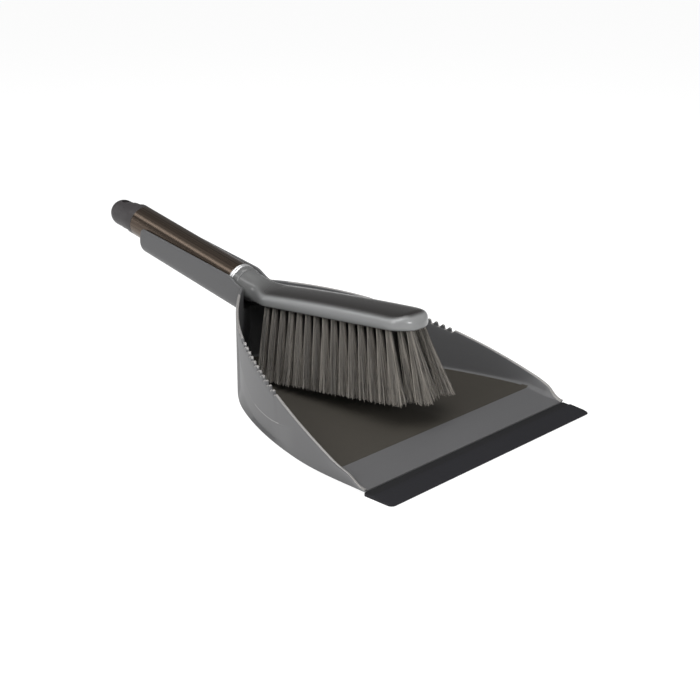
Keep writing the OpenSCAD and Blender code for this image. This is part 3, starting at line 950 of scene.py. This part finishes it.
class StockForm:
    """The brush head in its own frame: X along the stock, Z up from its underside."""

    # Where the neck starts, inside the collar, as a place along the stock
    BACK = -97 * MM
    # The stretches over which the neck turns into the head: its radius, its underside, the
    # height of its widest line, and how square its section is
    RADIUS_RUN = (-100 * MM, -70 * MM)
    UNDERSIDE_RUN = (-99 * MM, -70 * MM)
    WAIST_RUN = (-88 * MM, -66 * MM)
    SQUARE_RUN = (-88 * MM, -62 * MM)
    # Height of the widest line of the head's section
    WAIST = 4.6 * MM
    # The neck is this much taller than it is wide
    NECK_STRETCH = 1.04
    # How far the head's section is from an ellipse, above and below its widest line
    SQUARE_TOP = 0.5
    SQUARE_BOTTOM = 3.0

    def __init__(self, brush):
        self.brush = brush
        centre = RING_CENTRE + Vector((brush.neck + brush.stock_length / 2, 0, -brush.drop))
        self.place = Matrix.Translation(centre) @ Matrix.Rotation(-brush.stock_tilt, 4, "Y")
        self.half = brush.stock_length / 2
        self.wide = brush.stock_width / 2
        self.axis_start = self.place.inverted() @ RING_CENTRE
        self.axis_slope = math.tan(HANDLE_TILT + brush.stock_tilt)

    def axis_z(self, x):
        return self.axis_start.z - (x - self.axis_start.x) * self.axis_slope

    def neck_r(self, x):
        """The neck narrows from the collar to where it runs into the stock."""
        return TUBE_R - 0.5 * MM - 1.6 * MM * smooth_step(*self.RADIUS_RUN, x)

    def level(self, x):
        """Height of the widest line of the section."""
        neck = self.axis_z(x)
        return neck + (self.WAIST - neck) * smooth_step(*self.WAIST_RUN, x)

    def half_width(self, x):
        """Half the width: a round end in front, and a neck that widens into the head behind."""
        ends = self.half - self.wide
        beyond = max(0.0, abs(x) - ends)
        body = math.sqrt(max(0.0, self.wide**2 - beyond**2))
        if x > 0:
            return body
        neck = self.neck_r(x)
        return neck + (self.wide - neck) * smooth_step(-self.half - 5 * MM, -self.half + 21 * MM, x)

    def top(self, x):
        """Height of the top: bowed along the head, rounded at the tip, and met by the neck."""
        b = self.brush
        bowed = b.stock_thickness - b.stock_bow * (x / self.half) ** 2
        start = self.half - b.top_radius
        if x > start:
            bowed -= b.top_radius - math.sqrt(max(0.0, b.top_radius**2 - (x - start) ** 2))
        if x > 0:
            return bowed
        return soft_max(bowed, self.axis_z(x) + self.neck_r(x) * self.NECK_STRETCH, 2 * MM)

    def bottom(self, x):
        r = 2.0 * MM
        start = self.half - r
        edge = r - math.sqrt(max(0.0, r**2 - max(0.0, x - start) ** 2))
        neck = self.axis_z(x) - self.neck_r(x) * self.NECK_STRETCH
        return edge + (neck - edge) * (1 - smooth_step(*self.UNDERSIDE_RUN, x))

    def ring(self, x, steps=64):
        level = min(self.level(x), self.top(x) - 0.3 * MM)
        wide = self.half_width(x)
        up = max(0.0, self.top(x) - level)
        down = max(0.0, level - self.bottom(x))
        squared = smooth_step(*self.SQUARE_RUN, x)
        points = []
        for i in range(steps):
            t = 2 * math.pi * i / steps
            c, s = math.cos(t), math.sin(t)
            height, square = (up, self.SQUARE_TOP) if s >= 0 else (down, self.SQUARE_BOTTOM)
            power = 2 / (2 + square * squared)
            y = wide * math.copysign(abs(c) ** power, c)
            z = level + height * math.copysign(abs(s) ** power, s)
            points.append(self.place @ Vector((x, y, z)))
        return points

    def stations(self):
        ends = self.half - self.wide
        straight = [self.BACK + (ends - self.BACK) * k / 90 for k in range(90)]
        tip = [ends + self.wide * math.sin(math.pi / 2 * k / 36) for k in range(36)]
        return straight + tip + [self.half - 0.00001]


def soft_max(a, b, blend):
    """The larger of two values, rounded where they are within blend of each other."""
    h = max(blend - abs(a - b), 0.0) / blend
    return max(a, b) + h * h * blend * 0.25


# ---------------------------------------------------------------- operators


def painted(mesh, *materials):
    """Gives a mesh its materials in place of those it has. All faces take the first."""
    mesh.materials.clear()
    for material in materials:
        mesh.materials.append(material)


def settled(piece, name, body, slot, replaced, *materials):
    """Names a piece, paints it, hangs it under its body and hides the part that it replaces."""
    piece.name = name
    piece.data.name = name
    painted(piece.data, *materials)
    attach(piece, body)
    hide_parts(replaced)


class DUSTPAN_OT_pan(bpy.types.Operator):
    """Builds the pan: walls, floor, ramp, channel handle and comb teeth"""

    bl_idname = "dustpan.pan"
    bl_label = "Pan"
    bl_options = {"REGISTER", "UNDO"}

    def execute(self, context):
        pan, channel = context.scene.dustpan_pan, context.scene.dustpan_channel
        form = PanForm(pan)
        back = channel.bare - tube_length(context.scene.dustpan_brush)
        bowl = lofted("bowl", bowl_rings(form), cap_end=False)
        combined(bowl, "DIFFERENCE", lofted("notch", notch_rings(form, channel)))
        handle = lofted("channel", channel_rings(form, channel, back))
        combined(handle, "DIFFERENCE", lofted("core", core_rings(form), cap_end=False))
        combined(bowl, "UNION", handle)
        piece = merged("pan_shell", bowl, self.teeth(form))
        skins = (
            satin_polypropylene("Moulded polypropylene, pan", pan.body_colour),
            eroded_and_shaded_polypropylene(pan.floor_colour),
            satin_polypropylene("Polypropylene, painted rim highlight", pan.rim_highlight_colour, 0.3),
        )
        settled(piece, "pan_shell", "pan", "pan_plastic", "pan_body", *skins)
        for face in piece.data.polygons:
            face.material_index = self.skin(form, face.center, face.normal)
        return {"FINISHED"}

    def teeth(self, form):
        """The comb teeth of both sides, each a block that straddles the lowered rim."""
        pan = form.pan
        points, along = [], []
        for i in range(pan.teeth):
            x = LIP_X - pan.tooth_start - i * pan.tooth_pitch
            theta = math.asin((form.start - x) / form.reach)
            ahead, here = (
                form.wall_point(t, form.rim_z(t), pan.wall / 2) for t in (theta - 0.01, theta)
            )
            direction = (ahead - here).normalized()
            for side in (1, -1):
                points.append((here.x, side * here.y, here.z))
                along.append((direction.x, side * direction.y, direction.z))
        seeds = seed_object("teeth", points, {"along": ("FLOAT_VECTOR", along)})
        # Longer than the pitch, so that neighbours meet at their feet
        block = (pan.tooth_pitch * 1.3, pan.wall * 0.98, pan.tooth_height * 2)
        return grown(seeds, teeth_tree(), {"Size": block})

    def skin(self, form, centre, normal):
        """Which of the pan's skins a face has: 0 the body's, 1 the floor's, darker partly as painted shade,
        2 the painted highlight on the rim, the teeth and the crease's edge.
        """
        pan = form.pan
        channel_half = 24 * MM
        low = normal.z > 0.8 and -0.4 * MM < centre.z - pan.floor_z < pan.fillet
        # Floor faces behind the ramp take the darker floor colour, partly painted shade
        if low and centre.x < form.ramp_x:
            return 1
        # Faces on the rim's rounding, the teeth and the crease's edge take the pale skin, a painted
        # highlight
        edge = self.on_rim(form, centre, normal) or self.on_crease(form, centre, normal)
        return 2 if edge and abs(centre.y) > channel_half else 0

    def on_crease(self, form, centre, normal):
        """Whether a face is on the edge of the recessed part of the outer wall."""
        band = 0.9 * MM
        behind = LIP_X - centre.x
        if form.crease_depth(behind) < 0.5 or normal.y * centre.y < 0:
            return False
        return abs(centre.z - form.crease_z(behind)) < band

    def on_rim(self, form, centre, normal):
        """Whether a face belongs to the rim's rounding or to a tooth."""
        reach, band = 2.5 * MM, 0.9 * MM
        u = min(1.0, (form.start - centre.x) / form.reach)
        if u < math.sin(form.first):
            return False
        theta = math.asin(u)
        rim = form.wall_point(theta, form.rim_z(theta), form.pan.wall / 2)
        beside = abs(abs(centre.y) - abs(rim.y)) < reach
        return beside and normal.z > 0.3 and centre.z - rim.z > -band


def tube_length(brush):
    """Distance along the handle from the trim ring to the end of the tube."""
    tip_x = CAP_BACK_X + brush.cap_tip
    tip = (RING_CENTRE.x - tip_x) / math.cos(HANDLE_TILT) - brush.cap_droop * math.tan(HANDLE_TILT)
    return tip - brush.cap_length


class DUSTPAN_OT_lip(bpy.types.Operator):
    """Builds the rubber lip, thin at its front edge, with a groove along its back"""

    bl_idname = "dustpan.lip"
    bl_label = "Rubber lip"
    bl_options = {"REGISTER", "UNDO"}

    def execute(self, context):
        pan = context.scene.dustpan_pan
        count = 80
        rings = []
        for k in range(count + 1):
            y = -LIP_HALF * math.cos(math.pi * k / count)
            beyond = max(0.0, abs(y) - LIP_HALF + pan.lip_corner)
            cut = pan.lip_corner - math.sqrt(max(0.0, pan.lip_corner**2 - beyond**2))
            rings.append([Vector((x, y, z)) for x, z in self.section(pan, LIP_X - cut)])
        piece = lofted("lip", rings)
        rubber = lip_rubber_material("Moulded rubber", pan.lip_colour)
        seam = lip_rubber_material("Moulded rubber, painted seam shade", pan.seam_shade_colour)
        settled(piece, "rubber_lip", "pan", "lip_rubber", "lip_rubber", rubber, seam)
        # The top of the sunken strip takes the darker colour, painted shade in the groove
        for face in piece.data.polygons:
            if face.normal.z > 0 and face.center.x < BOWL_X + pan.seam:
                face.material_index = 1
        return {"FINISHED"}

    def section(self, pan, front):
        """Closed outline of the lip in the XZ plane, from the bottom back corner round."""
        depth = front - BOWL_X
        r = pan.lip_edge / 2

        def top(x):
            return pan.lip_rear + (pan.lip_edge - pan.lip_rear) * (x - BOWL_X) / (LIP_X - BOWL_X)

        points = [(BOWL_X, 0.0), (BOWL_X + depth * 0.5, 0.0), (front - r, 0.0)]
        points += arc((front - r, r), r, -60, 60, 4)
        # Along the top, from front to back: share of the depth, and how far the strip is sunk
        sunken = [(0.9, 0), (0.7, 0), (0.5, 0), (0.30, 0), (0.28, 0.7), (0.05, 0.9), (0.0, 0.9)]
        for share, drop in sunken:
            x = BOWL_X + depth * share
            points.append((x, top(x) - drop * MM))
        return points


class DUSTPAN_OT_stock(bpy.types.Operator):
    """Builds the brush stock with its neck and the collar behind it"""

    bl_idname = "dustpan.stock"
    bl_label = "Brush stock"
    bl_options = {"REGISTER", "UNDO"}

    def execute(self, context):
        brush = context.scene.dustpan_brush
        form = StockForm(brush)
        head = lofted("stock", [form.ring(x) for x in form.stations()])
        start = brush.ring_width / 2
        r = TUBE_R + 0.1 * MM
        edge = 0.7 * MM
        end = start + brush.collar
        profile = [
            (-start, r - 0.3 * MM),
            (-start - 0.3 * MM, r),
            (-end + edge, r),
            (-end + edge * 0.3, r - edge * 0.3),
            (-end, r - edge),
            (-end, r - 2 * MM),
        ]
        collar = lofted("collar", lathe_rings(profile))
        combined(head, "UNION", collar)
        piece = merged("stock", head)
        self.shade_top(form, piece.data)
        material = shaded_polypropylene(brush.stock_colour, brush.top_shade_colour)
        settled(piece, "stock", "brush", "stock_plastic", "brush_stock", material)
        return {"FINISHED"}

    def shade_top(self, form, mesh):
        """Marks how much painted shade each point of the top and the neck takes."""
        back = form.place.inverted()
        layer = mesh.attributes.new("top", "FLOAT", "POINT")
        for item, vertex in zip(layer.data, mesh.vertices):
            x, upward = (back @ vertex.co).x, vertex.normal.z
            ahead = smooth_step(-form.half - 4 * MM, -form.half + 26 * MM, x)
            neck = 0.5 * (1 - ahead) * smooth_step(-0.4, 0.6, upward)
            item.value = neck + ahead * smooth_step(0.7, 0.96, upward)


class DUSTPAN_OT_handle(bpy.types.Operator):
    """Builds the steel tube and its end cap, and finishes the trim ring and the staples"""

    bl_idname = "dustpan.handle"
    bl_label = "Handle"
    bl_options = {"REGISTER", "UNDO"}

    def execute(self, context):
        brush = context.scene.dustpan_brush
        start, end = brush.ring_width / 2, tube_length(brush)
        self.tube(brush, start, end)
        self.cap(brush, end)
        painted(frame["nodes"]["trim_ring"].data, chrome_material())
        painted(frame["nodes"]["staples"].data, staple_material())
        return {"FINISHED"}

    def tube(self, brush, start, end):
        bore = TUBE_R - 1.2 * MM
        edge = 0.3 * MM
        profile = [
            (start, bore),
            (start, TUBE_R - edge),
            (start + edge, TUBE_R),
            (end - edge, TUBE_R),
            (end, TUBE_R - edge),
            (end, bore),
        ]
        rings = lathe_rings(profile, steps=160)
        piece = lofted("tube", rings + rings[:1], cap_start=False, cap_end=False)
        material = tinted_steel_material(brush.steel_colour)
        settled(piece, "steel_tube", "brush", "tinted_steel", "handle_tube", material)

    def cap(self, brush, start):
        tip = brush.cap_tip
        centre = start + brush.cap_length
        # A collar as wide as the tube, then a narrower barrel: places behind the tube, and how
        # much smaller than the tube the radius is there
        steps = [(0, 1.5), (0, 0.4), (0.4, 0), (5.8, 0), (6.2, 0.4), (6.3, 1), (15, 1.1), (15.5, 1.2)]
        profile = [(start + behind * MM, TUBE_R - less * MM) for behind, less in steps]
        profile += [(start + 16 * MM, tip + 0.1 * MM), (centre - 3 * MM, tip + 0.05 * MM)]
        turns = [math.pi / 2 * k / 16 for k in range(17)]
        pole = 0.02 * MM
        profile += [(centre + tip * math.sin(t), max(pole, tip * math.cos(t))) for t in turns]

        def droop(behind):
            return brush.cap_droop * smooth_step(start + 6 * MM, centre, behind)

        piece = lofted("cap", lathe_rings(profile, steps=80, droop=droop))
        combined(piece, "DIFFERENCE", self.hole())
        piece = merged("cap", piece)
        material = satin_polypropylene("Moulded polypropylene, cap", brush.cap_colour, roughness=0.45)
        settled(piece, "end_cap_shell", "brush", "cap_plastic", "end_cap", material)

    def hole(self, steps=40):
        """A pin as long as it takes to pierce the cap, where the hanging hole is."""
        turn = Matrix.Translation(HOLE["pos_m"]) @ Matrix.Rotation(HANDLE_TILT, 4, "Y")
        half = HOLE["dims"]["length_mm"] * MM
        section = arc((0, 0), HOLE["dims"]["r_mm"] * MM, 0, 360, steps)[:-1]
        return lofted("hole", [[turn @ Vector((x, y, z)) for x, y in section] for z in (-half, half)])


class DUSTPAN_OT_bristles(bpy.types.Operator):
    """Grows the tufts of bristles, one piece for each cross row"""

    bl_idname = "dustpan.bristles"
    bl_label = "Bristles"
    bl_options = {"REGISTER", "UNDO"}

    def execute(self, context):
        brush, bristles = context.scene.dustpan_brush, context.scene.dustpan_bristles
        floor = context.scene.dustpan_pan.floor_z
        form = StockForm(brush)
        tree = bristle_tree()
        material = bristle_material(bristles.bristle_colour)
        sunk = 1.5 * MM
        for row in range(bristles.rows):
            roots, runs, tufts, inner = [], [], [], []
            for place, (x, y) in enumerate(self.row(form, bristles, row)):
                root = form.place @ Vector((x, y, sunk))
                roots.append(root)
                runs.append(form.place @ self.cut_end(form, bristles, floor, x, y) - root)
                tufts.append(row * 8 + place)
                # Tufts deep inside the brush take painted shade
                deep = 0 < row < bristles.rows - 2 and abs(y) < 1.5 * bristles.gap
                inner.append(1.0 if deep else 0.0)
            layers = {
                "run": ("FLOAT_VECTOR", runs),
                "tuft": ("INT", tufts),
                "inner": ("FLOAT", inner),
            }
            seeds = seed_object("tufts", roots, layers)
            values = {
                "Filaments": bristles.filaments,
                "Filament radius": bristles.filament,
                "Root radius": bristles.root / 2,
                "End radius": self.cut_radius(bristles, row),
                "Bow": bristles.bow,
                "Clumps": 7,
                "Shortest": 0.97,
                "Inner shade": 0.1,
                "Material": material,
            }
            piece = grown(seeds, tree, values)
            name = f"{row + 1:02d}"
            settled(piece, "bristles_" + name, "brush", "bristle", "tufts_" + name, material)
        return {"FINISHED"}

    def cut_radius(self, bristles, row):
        """Radius of a row's tufts at their cut ends."""
        return (bristles.end + (bristles.end_front - bristles.end) * row / (bristles.rows - 1)) / 2

    def first(self, form, bristles):
        """Place of the rearmost row along the stock."""
        return bristles.row_end - form.half

    def row(self, form, bristles, row):
        """Places of the tufts in a cross row: the second and fourth sit half a pitch forward."""
        first = self.first(form, bristles)
        pitch = -2 * first / (bristles.rows - 1)
        border = 3.8 * MM
        for j in range(-2, 3):
            x = first + row * pitch + (pitch / 2 if abs(j) == 1 else 0)
            y = j * bristles.gap
            beyond = max(0.0, abs(x) - (form.half - form.wide))
            if math.hypot(beyond, y) <= form.wide - border:
                yield x, y

    def cut_end(self, form, bristles, floor, x, y):
        """Middle of a tuft's cut end over the pan's floor, in the stock's frame."""
        first = self.first(form, bristles)
        share = (x - first) / (-2 * first)
        lean = bristles.lean_back + (bristles.lean_front - bristles.lean_back) * share
        spread = bristles.spread_back + (bristles.spread_front - bristles.spread_back) * share
        drop = (form.place.translation.z - floor - bristles.floor_gap) / math.cos(form.brush.stock_tilt)
        drop += (first - bristles.end / 2) * math.tan(form.brush.stock_tilt)
        run = drop - (x - first) * math.tan(bristles.rake)
        return Vector((x + run * math.tan(lean), y * spread, -run))


# Soft boxes round the set: place, what it points at, size and power
SOFT_BOXES = {
    "Key": ((0.1, -1.3, 0.7), (0.0, 0, 0.04), (0.4, 0.4), 4.0),
    "Front": ((1.5, -0.25, 0.6), (0.1, 0, 0.03), (0.4, 0.4), 11.0),
    "Top": ((0.1, 0.1, 1.4), (0.05, 0, 0.03), (1.0, 0.8), 8.5),
    "Fill": ((0.12, -0.22, 0.5), (0.08, 0.1, 0.03), (0.3, 0.3), 1.3),
    "Edge": ((-1.2, -0.7, 0.4), (-0.05, -0.05, 0.03), (0.3, 0.5), 1.5),
    "Strip": ((-0.5, -0.75, 0.95), (-0.1, 0, 0.07), (1.4, 0.2), 3.0),
}


class DUSTPAN_OT_stage(bpy.types.Operator):
    """Sets the paper floor, the soft lights and the camera"""

    bl_idname = "dustpan.stage"
    bl_label = "Stage"
    bl_options = {"REGISTER", "UNDO"}

    def execute(self, context):
        stage = context.scene.dustpan_stage
        self.floor(stage)
        self.world(context)
        context.scene.view_settings.view_transform = "Standard"
        for name, settings in SOFT_BOXES.items():
            self.soft_box(name, *settings)
        self.camera(context, stage)
        return {"FINISHED"}

    def floor(self, stage):
        half = 9.0
        below = 0.3 * MM
        corners = [(-half, -half), (half, -half), (half, half), (-half, half)]
        mesh = bpy.data.meshes.new("paper_floor")
        mesh.from_pydata([(x, y, -below) for x, y in corners], [], [(0, 1, 2, 3)])
        # Matt paper that is lit from behind as well: white, with only soft shadows
        material, _ = surface(
            "Matt white paper",
            stage.floor_colour,
            0.8,
            Emission_Color=(1, 1, 1, 1),
            Emission_Strength=0.88,
        )
        mesh.materials.append(material)
        linked("paper_floor", mesh)

    def world(self, context):
        world = bpy.data.worlds.new("Studio")
        context.scene.world = world
        world.use_nodes = True
        background = world.node_tree.nodes["Background"]
        background.inputs["Color"].default_value = (1, 1, 1, 1)
        background.inputs["Strength"].default_value = 0.25

    def soft_box(self, name, place, target, size, power):
        lamp = bpy.data.lights.new(name, "AREA")
        lamp.shape = "RECTANGLE"
        lamp.size, lamp.size_y = size
        lamp.energy = power
        made = linked(name, lamp)
        made.location = place
        aim = Vector(target) - Vector(place)
        made.rotation_euler = aim.to_track_quat("-Z", "Y").to_euler()

    def camera(self, context, stage):
        data = bpy.data.cameras.new("Camera")
        data.sensor_width = 36
        data.lens = stage.lens
        data.clip_start, data.clip_end = 0.01, 50
        made = linked("Camera", data)
        made.rotation_euler = (math.pi / 2 - stage.elevation, 0, stage.azimuth)
        backwards = made.rotation_euler.to_matrix() @ Vector((0, 0, 1))
        made.location = Vector(stage.target) + backwards * stage.distance
        context.scene.camera = made


class DUSTPAN_PT_sidebar(bpy.types.Panel):
    """Lists the pieces and their sizes"""

    bl_idname = "DUSTPAN_PT_sidebar"
    bl_label = "Dust pan and brush"
    bl_space_type = "VIEW_3D"
    bl_region_type = "UI"
    bl_category = "Dust pan"

    def draw(self, context):
        for operator in OPERATORS:
            self.layout.operator(operator.bl_idname)
        for name, group in SETTINGS.items():
            box = self.layout.box()
            box.label(text=group.__doc__)
            for key in group.__annotations__:
                box.prop(getattr(context.scene, name), key)


SETTINGS = {
    "dustpan_pan": DUSTPAN_PG_pan,
    "dustpan_channel": DUSTPAN_PG_channel,
    "dustpan_brush": DUSTPAN_PG_brush,
    "dustpan_bristles": DUSTPAN_PG_bristles,
    "dustpan_stage": DUSTPAN_PG_stage,
}
OPERATORS = [
    DUSTPAN_OT_pan,
    DUSTPAN_OT_lip,
    DUSTPAN_OT_stock,
    DUSTPAN_OT_handle,
    DUSTPAN_OT_bristles,
    DUSTPAN_OT_stage,
]


def register():
    for cls in [*SETTINGS.values(), *OPERATORS, DUSTPAN_PT_sidebar]:
        bpy.utils.register_class(cls)
    for name, group in SETTINGS.items():
        setattr(bpy.types.Scene, name, PointerProperty(type=group))


def unregister():
    for name in SETTINGS:
        delattr(bpy.types.Scene, name)
    for cls in [DUSTPAN_PT_sidebar, *OPERATORS, *SETTINGS.values()]:
        bpy.utils.unregister_class(cls)


def main():
    """Builds every piece and sets the stage."""
    register()
    bpy.ops.dustpan.pan()
    bpy.ops.dustpan.lip()
    bpy.ops.dustpan.stock()
    bpy.ops.dustpan.handle()
    bpy.ops.dustpan.bristles()
    bpy.ops.dustpan.stage()


if __name__ == "__main__":
    main()
